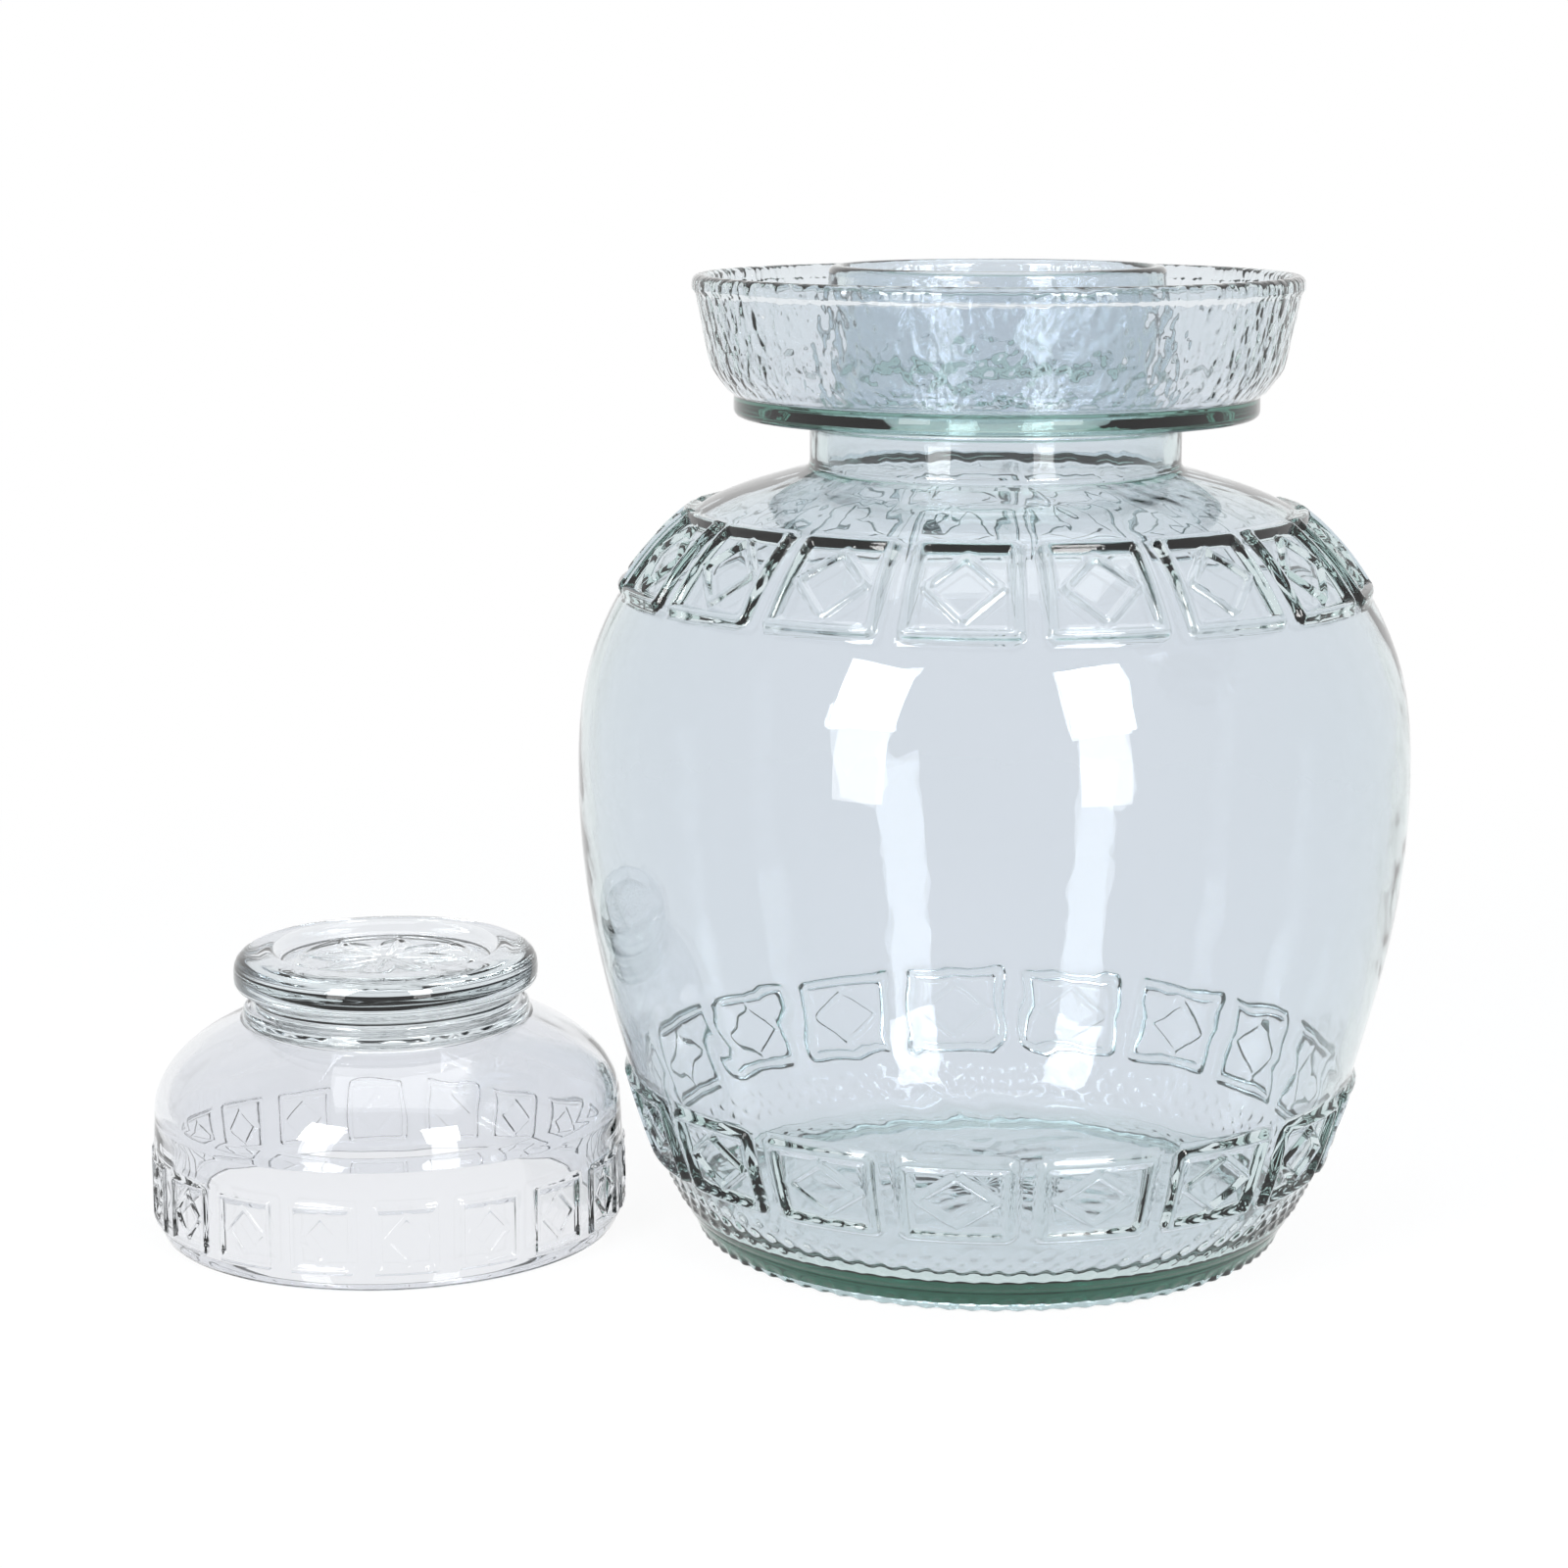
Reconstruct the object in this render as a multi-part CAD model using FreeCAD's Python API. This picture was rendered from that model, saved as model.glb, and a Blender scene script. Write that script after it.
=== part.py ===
"""Glass pickle jar with a water-seal trough round its mouth, and its bowl-shaped lid.

Millimetres, +Z up. The origin is the centre of the jar's base, on the floor. The lid has
been taken off and stands on its rim beside the jar.
"""
import FreeCAD, Part
import math
import os

Vector = FreeCAD.Vector

# Jar body: outside radius and heights above the floor.
body_radius = 120.6
widest_height = 140.0
shoulder_height = 224.8
body_wall = 4.0

# Foot ring that the jar stands on, the shallow push-up inside it, and the base above.
foot_radius = 86.0
foot_height = 6.0
foot_draft = 2.6
foot_round = 1.8
bearing_width = 8.5
push_up = 2.4
heel_step = 1.0
base_thickness = 7.0
inner_heel_fillet = 12.0

# Bands of framed diamonds round the body. Directions round the axis are in degrees from
# -Y towards +X, and both bands have a gap on the mould's seam.
jar_seam = 6.1
lower_band_height = 24.0
lower_band_rise = 26.0
lower_band_count = 17
lower_band_gaps = (4.3, 4.9)
upper_band_drop = 12.0
upper_band_fall = 23.6
upper_band_count = 17
upper_band_gaps = (4.6, 3.0)
rib_width = 4.0
rib_height = 1.9
rib_corner = 3.2
diamond_width = 1.4
diamond_height = 0.8
diamond_margin = 1.6

# Form of the body's outline: how far each circle lies on the way from the foot's radius,
# or from the neck's, out to the widest circle, and the swells' shares of the height.
lower_band_bottom_reach = 0.347
lower_band_top_reach = 0.595
lower_swell_reach = 0.833
lower_swell_share = 0.36
upper_swell_reach = 0.94
upper_swell_share = 0.39
upper_band_bottom_reach = 0.81
upper_band_top_reach = 0.49

# Neck between the shoulder and the trough.
neck_radius = 53.3
neck_wall = 5.2
neck_height = 14.6
neck_fillet = 2.6
shoulder_flat = 11.0
shoulder_slope = 0.29

# Trough that holds water round the mouth; its step ring and turn are set in from the rim.
trough_rim_radius = 87.0
trough_height = 40.2
trough_floor = 6.6
trough_wall = 4.8
trough_floor_fillet = 7.0
step_inset = 11.8
step_height = 6.2
step_round = 2.2
turn_inset = 5.2
turn_height = 14.2
turn_fillet = 12.0
rim_bead = 1.0
rim_bead_height = 5.0
rim_round = 2.2

# Mouth ring that stands inside the trough.
mouth_radius = 48.0
mouth_flare = 1.4
mouth_wall = 4.6
mouth_round = 2.0
mouth_above_rim = 2.4
mouth_root_fillet = 3.0

# Lid: a bowl turned upside down, with its foot ring as the knob. Its skirt stands in the
# trough and its dome covers the mouth ring.
lid_clearance = 7.8
lid_headroom = 23.8
lid_wall = 4.4
lid_rim_inset = 2.4
lid_rim_rise = 5.0
lid_rim_round = 1.8
lid_dome_rise = 27.0
lid_skirt_draft = 0.6
lid_ledge = 1.2
lid_ledge_rise = 3.0
haunch_inset = 5.6
haunch_rise = 13.0
dome_slope = 0.55
collar_radius = 42.0
collar_height = 3.0
throat_radius = 38.6
throat_height = 3.2
throat_fillet = 1.4
knob_radius = 44.6
knob_height = 13.0
knob_edge_round = 5.6
knob_recess_radius = 32.4
knob_recess_depth = 3.4
knob_recess_fillet = 1.6
knob_lip_round = 2.4

# Band of framed diamonds on the lid's skirt, with a gap on the lid's seam.
lid_seam = 3.6
lid_band_height = 5.4
lid_band_rise = 20.0
lid_band_count = 18
lid_band_gaps = (5.4, 5.4)
lid_rib_width = 1.9
lid_rib_height = 0.8
lid_rib_corner = 1.0
lid_diamond_width = 0.9
lid_diamond_height = 0.5
lid_diamond_margin = 1.4

# How far a rib's root is let into the wall below it.
rib_root = 1.0

# Where the lid stands: its clearance from the circle of the jar's lower band, seen from
# above, and its direction from the jar in degrees from +X.
lid_stand_off = 0.4
lid_bearing = 184.0

AXIS = Vector(0, 0, 1)
ORIGIN = Vector(0, 0, 0)
BACK = 180.0


# ---- outlines, drawn in the XZ plane with x as the radius ----
def at(radius, height):
    """Point of an outline."""
    return Vector(radius, 0.0, height)


def between(low, high, share):
    """Value at a share of the way from low to high."""
    return low + (high - low) * share


def rounded_path(corners, closed=False):
    """Straight edges through corners (point, fillet), with an arc at each fillet."""
    count = len(corners)
    starts = []
    ends = []
    edges = []
    for index, (corner, fillet) in enumerate(corners):
        is_end = not closed and index in (0, count - 1)
        if is_end or fillet <= 0.0:
            starts.append(corner)
            ends.append(corner)
            continue
        back = (corners[index - 1][0] - corner).normalize()
        ahead = (corners[(index + 1) % count][0] - corner).normalize()
        half = back.getAngle(ahead) / 2.0
        reach = fillet / math.tan(half)
        middle = corner + (back + ahead).normalize() * (fillet / math.sin(half) - fillet)
        starts.append(corner + back * reach)
        ends.append(corner + ahead * reach)
        edges.append(Part.Arc(starts[-1], middle, ends[-1]).toShape())
    for index in range(count if closed else count - 1):
        following = starts[(index + 1) % count]
        edges.append(Part.LineSegment(ends[index], following).toShape())
    return edges


def smooth_curve(points, first_direction, last_direction):
    """Spline through the points that leaves and arrives along the given directions."""
    curve = Part.BSplineCurve()
    curve.interpolate(
        Points=points, InitialTangent=first_direction, FinalTangent=last_direction)
    return curve


def direction_at(curve, point):
    """Direction of an outline at one of its points."""
    return curve.tangent(curve.parameter(point))[0]


def offset_curve(curve, points, distance):
    """Spline that runs the distance outside an outline that climbs through the points."""
    moved = []
    for point in points:
        tangent = direction_at(curve, point)
        moved.append(point + Vector(tangent.z, 0.0, -tangent.x) * distance)
    return smooth_curve(moved, direction_at(curve, points[0]), direction_at(curve, points[-1]))


def revolve(edges, seam):
    """Solid swept by a closed outline round the Z axis, starting at the seam."""
    section = Part.Face(Part.Wire(Part.__sortEdges__(edges)))
    shape = section.revolve(ORIGIN, AXIS, 360)
    shape.rotate(ORIGIN, AXIS, seam - 90.0)
    return shape


# ---- bands of raised frames, each round a raised diamond ----
def shrink(outline, margin):
    """Corners of a convex outline moved inward by the margin."""
    moved = []
    for index, corner in enumerate(outline):
        back = (outline[index - 1] - corner).normalize()
        ahead = (outline[(index + 1) % len(outline)] - corner).normalize()
        half = back.getAngle(ahead) / 2.0
        moved.append(corner + (back + ahead).normalize() * (margin / math.sin(half)))
    return moved


def rounded_face(outline, corner_round):
    """Flat face inside an outline with rounded corners."""
    edges = rounded_path([(point, corner_round) for point in outline], True)
    return Part.Face(Part.Wire(Part.__sortEdges__(edges)))


def ring_prism(outline, width, corner_round, reach):
    """Ring of the given width along a flat outline, from -reach to +reach in Y."""
    inside_round = max(corner_round - width, 0.0)
    ring = rounded_face(outline, corner_round)
    ring = ring.cut(rounded_face(shrink(outline, width), inside_round))
    ring.translate(Vector(0, -reach, 0))
    return ring.extrude(Vector(0, 2.0 * reach, 0))


def skin_between(curve, points, height):
    """Skin of the outline's stretch, from the rib root below it to the height above it."""
    below = offset_curve(curve, points, -rib_root)
    above = offset_curve(curve, points, height)
    low = Part.LineSegment(below.StartPoint, above.StartPoint)
    high = Part.LineSegment(below.EndPoint, above.EndPoint)
    edges = [below.toShape(), low.toShape(), above.toShape(), high.toShape()]
    return revolve(edges, BACK)


def framed_diamonds(low, high, count, seam, gaps, frame_size, diamond_size, skins):
    """Frames and diamonds round the wall between two points of an outline."""
    rib, corner = frame_size
    line, margin = diamond_size
    step = 360.0 / count
    half_pitch = math.sin(math.radians(step / 2.0))
    tall = (high - low).Length
    lean = math.degrees(math.atan2(high.x - low.x, high.z - low.z))
    half_low = low.x * half_pitch - gaps[0] / 2.0
    half_high = high.x * half_pitch - gaps[1] / 2.0
    frame = [at(-half_low, 0), at(half_low, 0), at(half_high, tall), at(-half_high, tall)]
    half_tall = tall / 2.0 - rib - margin
    half_wide = (half_low + half_high) / 2.0 - rib - margin
    centre = at(0, tall / 2.0)
    diamond = [centre - at(0, half_tall), centre + at(half_wide, 0),
               centre + at(0, half_tall), centre - at(half_wide, 0)]
    reach = tall / 2.0
    prisms = [ring_prism(frame, rib, corner, reach), ring_prism(diamond, line, 0.0, reach)]
    pieces = []
    for prism, skin in zip(prisms, skins):
        prism.rotate(ORIGIN, Vector(1, 0, 0), lean)
        prism.translate(Vector(0, -low.x, low.z))
        raised = prism.common(skin)
        for number in range(count):
            copy = raised.copy()
            copy.rotate(ORIGIN, AXIS, seam + (number + 0.5) * step)
            pieces.append(copy)
    return pieces


# ---- jar ----
heel_start = at(foot_radius + foot_draft + heel_step, foot_height + heel_step)
lower_low = at(between(foot_radius, body_radius, lower_band_bottom_reach), lower_band_height)
lower_high = at(between(foot_radius, body_radius, lower_band_top_reach),
                lower_band_height + lower_band_rise)
lower_swell = at(between(foot_radius, body_radius, lower_swell_reach),
                 between(lower_high.z, widest_height, lower_swell_share))
widest = at(body_radius, widest_height)
upper_high = at(between(neck_radius, body_radius, upper_band_top_reach),
                shoulder_height - upper_band_drop)
upper_low = at(between(neck_radius, body_radius, upper_band_bottom_reach),
               upper_high.z - upper_band_fall)
upper_swell = at(between(neck_radius, body_radius, upper_swell_reach),
                 between(upper_low.z, widest_height, upper_swell_share))
shoulder = at(neck_radius + shoulder_flat, shoulder_height - shoulder_flat * shoulder_slope)
body_points = [heel_start, lower_low, lower_high, lower_swell, widest,
               upper_swell, upper_low, upper_high, shoulder]

trough_base = shoulder_height + neck_height
trough_inside = trough_base + trough_floor
trough_rim = trough_base + trough_height
mouth_top = trough_rim + mouth_above_rim
mouth_root_radius = mouth_radius + mouth_flare
mouth_bore = mouth_radius - mouth_wall
neck_bore = neck_radius - neck_wall
trough_turn = at(trough_rim_radius - turn_inset, trough_base + turn_height)
trough_inner_radius = trough_turn.x - trough_wall


def base_path():
    """Underside and foot, from the axis out to the start of the body."""
    bearing_radius = foot_radius - bearing_width
    return rounded_path([
        (at(0, push_up), 0),
        (at(bearing_radius - push_up, push_up), push_up / 2.0),
        (at(bearing_radius, 0), 0),
        (at(foot_radius, 0), foot_round),
        (at(foot_radius + foot_draft, foot_height), foot_round / 2.0),
        (at(foot_radius + foot_draft, foot_height + heel_step / 2.0), 0),
        (heel_start, 0),
    ])


def mouth_path(inner_shoulder):
    """From the shoulder up round the trough, over the mouth ring and down the bore."""
    step_radius = trough_rim_radius - step_inset
    rim_low = trough_rim - rim_bead_height
    return rounded_path([
        (shoulder, 0),
        (at(neck_radius, shoulder_height), neck_fillet),
        (at(neck_radius, trough_base), neck_fillet),
        (at(step_radius, trough_base), step_round),
        (at(step_radius, trough_base + step_height), step_round / 3.0),
        (trough_turn, turn_fillet),
        (at(trough_rim_radius - rim_bead, rim_low), rim_round),
        (at(trough_rim_radius, rim_low + rim_bead), rim_bead),
        (at(trough_rim_radius, trough_rim), rim_round),
        (at(trough_rim_radius - trough_wall, trough_rim), rim_round),
        (at(trough_inner_radius, trough_turn.z), turn_fillet),
        (at(step_radius - step_round, trough_inside), trough_floor_fillet / 2.0),
        (at(mouth_root_radius, trough_inside), mouth_root_fillet),
        (at(mouth_radius, mouth_top), mouth_round),
        (at(mouth_bore, mouth_top), mouth_round),
        (at(mouth_bore, trough_inside - trough_floor / 2.0), neck_fillet),
        (at(neck_bore, trough_base - neck_fillet), neck_fillet),
        (at(neck_bore, inner_shoulder.z + (inner_shoulder.x - neck_bore) * shoulder_slope),
         neck_fillet),
        (inner_shoulder, 0),
    ])


def floor_path(inner_heel, heel_direction):
    """Inside of the base, from the body's inner wall in to the axis."""
    floor = push_up + base_thickness
    drop = (inner_heel.z - floor) / heel_direction.z
    corner = inner_heel - heel_direction * drop
    return rounded_path([(inner_heel, 0), (corner, inner_heel_fillet), (at(0, floor), 0)])


def make_jar():
    """Jar in one piece: base, body, neck, trough and mouth ring, with its raised bands."""
    last_direction = Vector(-1.0, 0.0, shoulder_slope).normalize()
    outer = smooth_curve(body_points, (lower_low - heel_start).normalize(), last_direction)
    inner = offset_curve(outer, body_points[1:], -body_wall)
    heel_direction = direction_at(outer, lower_low)
    edges = base_path() + [outer.toShape()] + mouth_path(inner.EndPoint)
    edges += [inner.toShape()] + floor_path(inner.StartPoint, heel_direction)
    edges.append(Part.LineSegment(at(0, push_up + base_thickness), at(0, push_up)).toShape())
    skins = [skin_between(outer, body_points[1:-1], height)
             for height in (rib_height, diamond_height)]
    frame_size = (rib_width, rib_corner)
    diamond_size = (diamond_width, diamond_margin)
    raised = framed_diamonds(lower_low, lower_high, lower_band_count, jar_seam,
                             lower_band_gaps, frame_size, diamond_size, skins)
    raised += framed_diamonds(upper_low, upper_high, upper_band_count, jar_seam,
                              upper_band_gaps, frame_size, diamond_size, skins)
    return revolve(edges, jar_seam).fuse(raised)


# ---- lid ----
lid_radius = trough_inner_radius - lid_clearance
mouth_rise = mouth_top - trough_inside
dome_height = mouth_rise + lid_headroom + lid_wall
skirt_height = dome_height - lid_dome_rise
skirt_low = at(lid_radius, lid_rim_rise)
skirt_high = at(lid_radius - lid_skirt_draft, skirt_height)
haunch = at(skirt_high.x - haunch_inset, skirt_height + haunch_rise)
crown = at(collar_radius, dome_height)


def knob_path():
    """Step ring, throat and knob, from the crown up and in to the axis."""
    throat_base = dome_height + collar_height
    knob_base = throat_base + throat_height
    knob_top = knob_base + knob_height
    recess = knob_top - knob_recess_depth
    return rounded_path([
        (crown, 0),
        (at(collar_radius, throat_base), throat_fillet),
        (at(throat_radius, throat_base), throat_fillet),
        (at(throat_radius, knob_base), throat_fillet),
        (at(knob_radius, knob_base + (knob_radius - throat_radius) / 2.0), knob_edge_round / 2.0),
        (at(knob_radius, knob_top), knob_edge_round),
        (at(knob_recess_radius, knob_top), knob_lip_round),
        (at(knob_recess_radius - knob_recess_depth / 2.0, recess), knob_recess_fillet),
        (at(0, recess), 0),
    ])


def make_lid():
    """Lid in one piece, standing on its rim round the Z axis."""
    upright = Vector(0, 0, 1)
    crown_direction = Vector(-1.0, 0.0, dome_slope).normalize()
    dome_points = [skirt_high, haunch, crown]
    dome = smooth_curve(dome_points, upright, crown_direction)
    inner = offset_curve(dome, dome_points, -lid_wall)
    ledge_top = inner.StartPoint
    skirt_bore = ledge_top.x + lid_ledge
    rim = rounded_path([
        (skirt_high, 0),
        (skirt_low, lid_rim_rise / 2.0),
        (at(lid_radius - lid_rim_inset, 0), lid_rim_round),
        (at(lid_radius - lid_wall, 0), lid_rim_round),
        (at(skirt_bore, ledge_top.z - lid_ledge_rise), lid_ledge),
        (ledge_top, 0),
    ])
    ceiling = at(0, inner.EndPoint.z)
    edges = rim + [dome.toShape()] + knob_path() + [inner.toShape()]
    edges.append(Part.LineSegment(inner.EndPoint, ceiling).toShape())
    knob_floor = dome_height + collar_height + throat_height + knob_height - knob_recess_depth
    edges.append(Part.LineSegment(ceiling, at(0, knob_floor)).toShape())
    skirt_points = [skirt_low, at(between(skirt_low.x, skirt_high.x, 0.5),
                                  between(skirt_low.z, skirt_high.z, 0.5)), skirt_high]
    skirt = smooth_curve(skirt_points, upright, upright)
    skins = [skin_between(skirt, skirt_points, height)
             for height in (lid_rib_height, lid_diamond_height)]
    raised = framed_diamonds(
        at(lid_radius, lid_band_height), at(lid_radius, lid_band_height + lid_band_rise),
        lid_band_count, lid_seam, lid_band_gaps, (lid_rib_width, lid_rib_corner),
        (lid_diamond_width, lid_diamond_margin), skins)
    return revolve(edges, lid_seam).fuse(raised)


def stand_beside(lid):
    """Moves the lid to its place on the floor beside the jar."""
    distance = lower_high.x + rib_height + lid_radius + lid_stand_off
    bearing = math.radians(lid_bearing)
    lid.translate(Vector(distance * math.cos(bearing), distance * math.sin(bearing), 0))
    return lid


os.makedirs("parts", exist_ok=True)
for name, shape in (("jar", make_jar()), ("lid", stand_beside(make_lid()))):
    shape.exportStep("parts/" + name + ".step")
    print(name, shape.ShapeType, len(shape.Solids), shape.isValid(), round(shape.Volume / 1000.0, 1))
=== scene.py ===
"""Looks of the glass pickle jar and its lid: pressed-glass relief, clear tinted glass, studio.

Lengths in this file are millimetres until a mesh is written, which is in metres.
"""
import math
import bpy
import numpy as np
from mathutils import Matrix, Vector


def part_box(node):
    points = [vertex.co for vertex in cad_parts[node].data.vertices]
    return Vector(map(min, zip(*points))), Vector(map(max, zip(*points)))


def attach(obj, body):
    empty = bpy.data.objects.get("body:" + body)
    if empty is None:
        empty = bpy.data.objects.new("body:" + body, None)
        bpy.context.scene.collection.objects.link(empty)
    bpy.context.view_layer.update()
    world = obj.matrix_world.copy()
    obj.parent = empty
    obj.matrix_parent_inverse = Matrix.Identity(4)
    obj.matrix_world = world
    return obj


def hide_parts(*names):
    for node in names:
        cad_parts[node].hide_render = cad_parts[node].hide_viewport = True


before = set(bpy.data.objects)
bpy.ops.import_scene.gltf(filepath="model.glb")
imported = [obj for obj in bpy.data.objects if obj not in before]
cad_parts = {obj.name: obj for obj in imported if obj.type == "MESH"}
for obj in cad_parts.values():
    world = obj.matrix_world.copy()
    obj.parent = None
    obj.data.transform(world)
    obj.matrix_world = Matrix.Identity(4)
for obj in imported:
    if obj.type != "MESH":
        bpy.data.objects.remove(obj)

METRES = 0.001
TURN = 2.0 * math.pi


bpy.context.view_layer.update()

# ---- sizes read from the frame ----
jar_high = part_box("jar")[1]
lid_low, lid_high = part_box("lid")
jar_height = jar_high[2] / METRES
lid_height = lid_high[2] / METRES
lid_x = (lid_low[0] + lid_high[0]) / 2.0 / METRES
lid_y = (lid_low[1] + lid_high[1]) / 2.0 / METRES

# ---- sizes of the jar's outline, as the CAD has them ----
body_radius = 120.6
widest_height = 140.0
shoulder_height = 224.8
body_wall = 4.0
foot_radius = 86.0
foot_height = 6.0
foot_draft = 2.6
bearing_radius = 77.5
push_up = 2.4
floor_height = 9.4
neck_radius = 53.3
neck_bore = 48.1
shoulder_slope = 0.29
trough_base = 239.4
trough_inside = 246.0
trough_rim_radius = 87.0
trough_turn_radius = 81.8
trough_turn_height = 253.6
trough_rim = 279.6
rim_round = 2.3
rim_bead_height = 5.0
trough_wall = 4.8
step_radius = 75.2
step_height = 6.2
mouth_radius = 48.0
mouth_root_radius = 49.4
mouth_bore = 43.4
jar_seam = 6.1
lower_low = (98.01, 24.0)
lower_high = (106.59, 50.0)
upper_low = (107.81, 189.2)
lower_swell = (114.82, 82.4)
upper_swell = (116.56, 170.01)
shoulder = (64.3, 221.61)
lower_gaps = (4.3, 4.9)
upper_gaps = (4.6, 3.0)
panel_count = 17
upper_high = (86.28, 212.8)

# ---- sizes of the relief ----
rib_width = 4.0
rib_height = 1.9
rib_corner = 3.2
diamond_height = 1.5  # a rounded crest, prouder than the solid's flat-topped line
diamond_margin = 1.6
nub_count = 90
nub_radius = 1.6
nub_height = 0.6
nub_rows = (12.2, 15.7, 19.2)
scallop_count = 84
scallop_height = 0.7
scallop_middle = 1.4
scallop_reach = 2.4

# ---- depths of the glass's ripples, and shares of them where the glass is calmer ----
wall_depth, wall_fine_depth = 0.10, 0.03
dent_depth, dapple_depth = 0.07, 0.07
inside_depth, inside_dapple_depth = 0.15, 0.08
base_depth, base_radius, base_fade = 0.28, 70.0, 30.0
base_share, shoulder_share, rim_share = 0.25, 0.16, 0.25
lid_depth, lid_fine_depth = 0.07, 0.02
lid_inside_depth, lid_inside_fine_depth = 0.12, 0.03
skirt_foot_share, knob_share = 0.4, 0.5

# ---- roundings and joins of the jar's outline ----
axis_gap = 6.0
bearing_round = 1.2
foot_land = 2.0
foot_inset = 1.4
foot_round = 1.3
foot_top_round = 0.8
foot_top_rise = 0.6
heel_start = 7.3
heel_margin = 0.6
belly_margins = (1.5, 1.2)
slope_margins = (0.8, 0.2)
neck_round = 2.6
step_round = 2.2
step_edge = 0.7
step_end = (76.8, 246.9)
trough_start = (77.3, 247.5)
trough_turn_round = 12.0
rim_bead = 1.0
rim_outside_join = 3.4
rim_inside_joins = ((0.3, 2.6), (0.5, 3.6))
mouth_outside_joins = (3.0, 2.6)
mouth_inside_joins = (4.0, 6.0)
bead_round = 2.2
bead_edge = 1.0
channel_radius = 73.0
channel_round = 3.5
mouth_root_round = 3.0
mouth_round = 2.0
bore_rise = 3.3
neck_bore_end = 222.2
shoulder_inside = (63.2, 217.7)
inside_low = 26.0
inside_high = 217.4
inside_least_radius = 62.0
floor_radius = 87.6
floor_round = 12.0

# ---- how finely the jar is drawn: points in a ring, rings, and steps along it ----
underside_ring, underside_step = 128, 8.0
foot_ring, foot_step = 5 * scallop_count, 1.0
heel_ring, heel_rows = 6 * nub_count, 20
belly_ring, belly_rows = 12 * panel_count, 26
slope_rows = 8
neck_ring, neck_step = 240, 3.2
trough_ring, trough_step = 360, 1.7
rim_ring, rim_step = 200, 1.4
channel_ring = 200
mouth_ring = 160
inside_ring, inside_rows = 160, 44
wall_step = 3.6

# ---- sizes of the lid's outline ----
lid_radius = 69.2
lid_wall = 4.4
lid_skirt_height = 37.2
lid_dome_height = 64.2
collar_radius = 42.0
throat_radius = 38.6
knob_radius = 44.6
recess_radius = 32.4
recess_depth = 3.4
lid_seam = 3.6
lid_band_height = 5.4
lid_band_rise = 20.0
lid_panel_count = 18
lid_gap = 5.4
lid_rib_width = 1.9
lid_rib_corner = 1.0
lid_rib_height = 0.8
lid_diamond_margin = 1.4
lid_diamond_height = 0.8
haunch = (63.0, 13.0)
ledge_corner = (65.4, 34.2)
ledge_round = 1.2
skirt_bore = 64.9
skirt_foot = 66.8
skirt_foot_round = 1.8
skirt_step = (69.0, 4.6)
skirt_step_round = 2.0
skirt_start = 5.2
collar_height = 3.0
throat_rise = 3.2
knob_flare = 3.0
collar_round = 1.4
knob_under_round = 2.8
knob_round = 5.6
recess_edge_round = 2.4
recess_draft = 1.7
recess_round = 1.6
recess_join = (29.0, 28.2)
lid_axis_gap = 2.0

# ---- how finely the lid is drawn ----
lid_inside_ring, lid_outside_ring, recess_ring = 200, 220, 256
dome_rows = 26
ceiling_step, skirt_spacing, knob_step, recess_step = 4.0, 2.4, 1.4, 0.9

# ---- flower in the knob's recess ----
petal_middle, petal_swing, petal_width = 11.0, 10.0, 1.6
flower_rim, flower_rim_width = 25.5, 1.2
ray_from, ray_to = 3.0, 27.0
flower_height = 0.55

# ---- glass, studio and camera ----
# jar base colour: partly the glass's own pale tint, partly painted shade, an even grey-blue
# standing in for a darker studio seen through the glass
JAR_COLOUR = (0.881, 0.884, 0.935)
JAR_TINT = (0.50, 0.71, 0.65)
JAR_DENSITY = 44.0
# lid base colour: partly the glass's own pale tint, partly painted shade, an even grey-blue
# standing in for a darker studio seen through the glass
LID_COLOUR = (0.850, 0.860, 0.888)
LID_TINT = (0.60, 0.72, 0.72)
LID_DENSITY = 6.0
GLASS_IOR = 1.5
JAR_WAVE_SCALE, JAR_WAVE_DEPTH = 26.0, 0.0006
LID_WAVE_SCALE, LID_WAVE_DEPTH = 34.0, 0.0004
WAVE_STRENGTH = 0.35
HAMMER_SCALE, HAMMER_DEPTH, HAMMER_STRENGTH = 260.0, 0.0009, 0.8
HAMMER_INSET = 12.0
BACKGROUND = (1.0, 1.0, 1.0)
ROOM = (0.54, 0.59, 0.62)
FLOOR_COLOUR = (0.86, 0.88, 0.90)
FLOOR_DROP = 0.0003
FLOOR_HALF = 12.0
SHADOW_NEAR, SHADOW_FAR = 0.30, 0.75
SHADOW_SHARE = 0.07
LAMP_TARGET = (0.0, 0.0, 0.15)
LAMPS = (("left_box", (-0.66, -0.95, 0.80), 0.40, 0.56, 10.0),
         ("right_box", (0.58, -1.00, 0.80), 0.40, 0.56, 10.0),
         ("left_strip", (-0.70, -1.05, 0.32), 0.30, 0.50, 2.2),
         ("right_strip", (0.62, -1.10, 0.32), 0.30, 0.50, 2.2),
         ("top_box", (0.0, 0.1, 1.5), 1.2, 1.2, 8.0))
CAMERA_PLACE = (0.0, -0.994, 0.322)
CAMERA_DOWN, CAMERA_TURN = 10.86, 3.50
CAMERA_LENS, CAMERA_SENSOR = 79.27, 36.0


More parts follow.
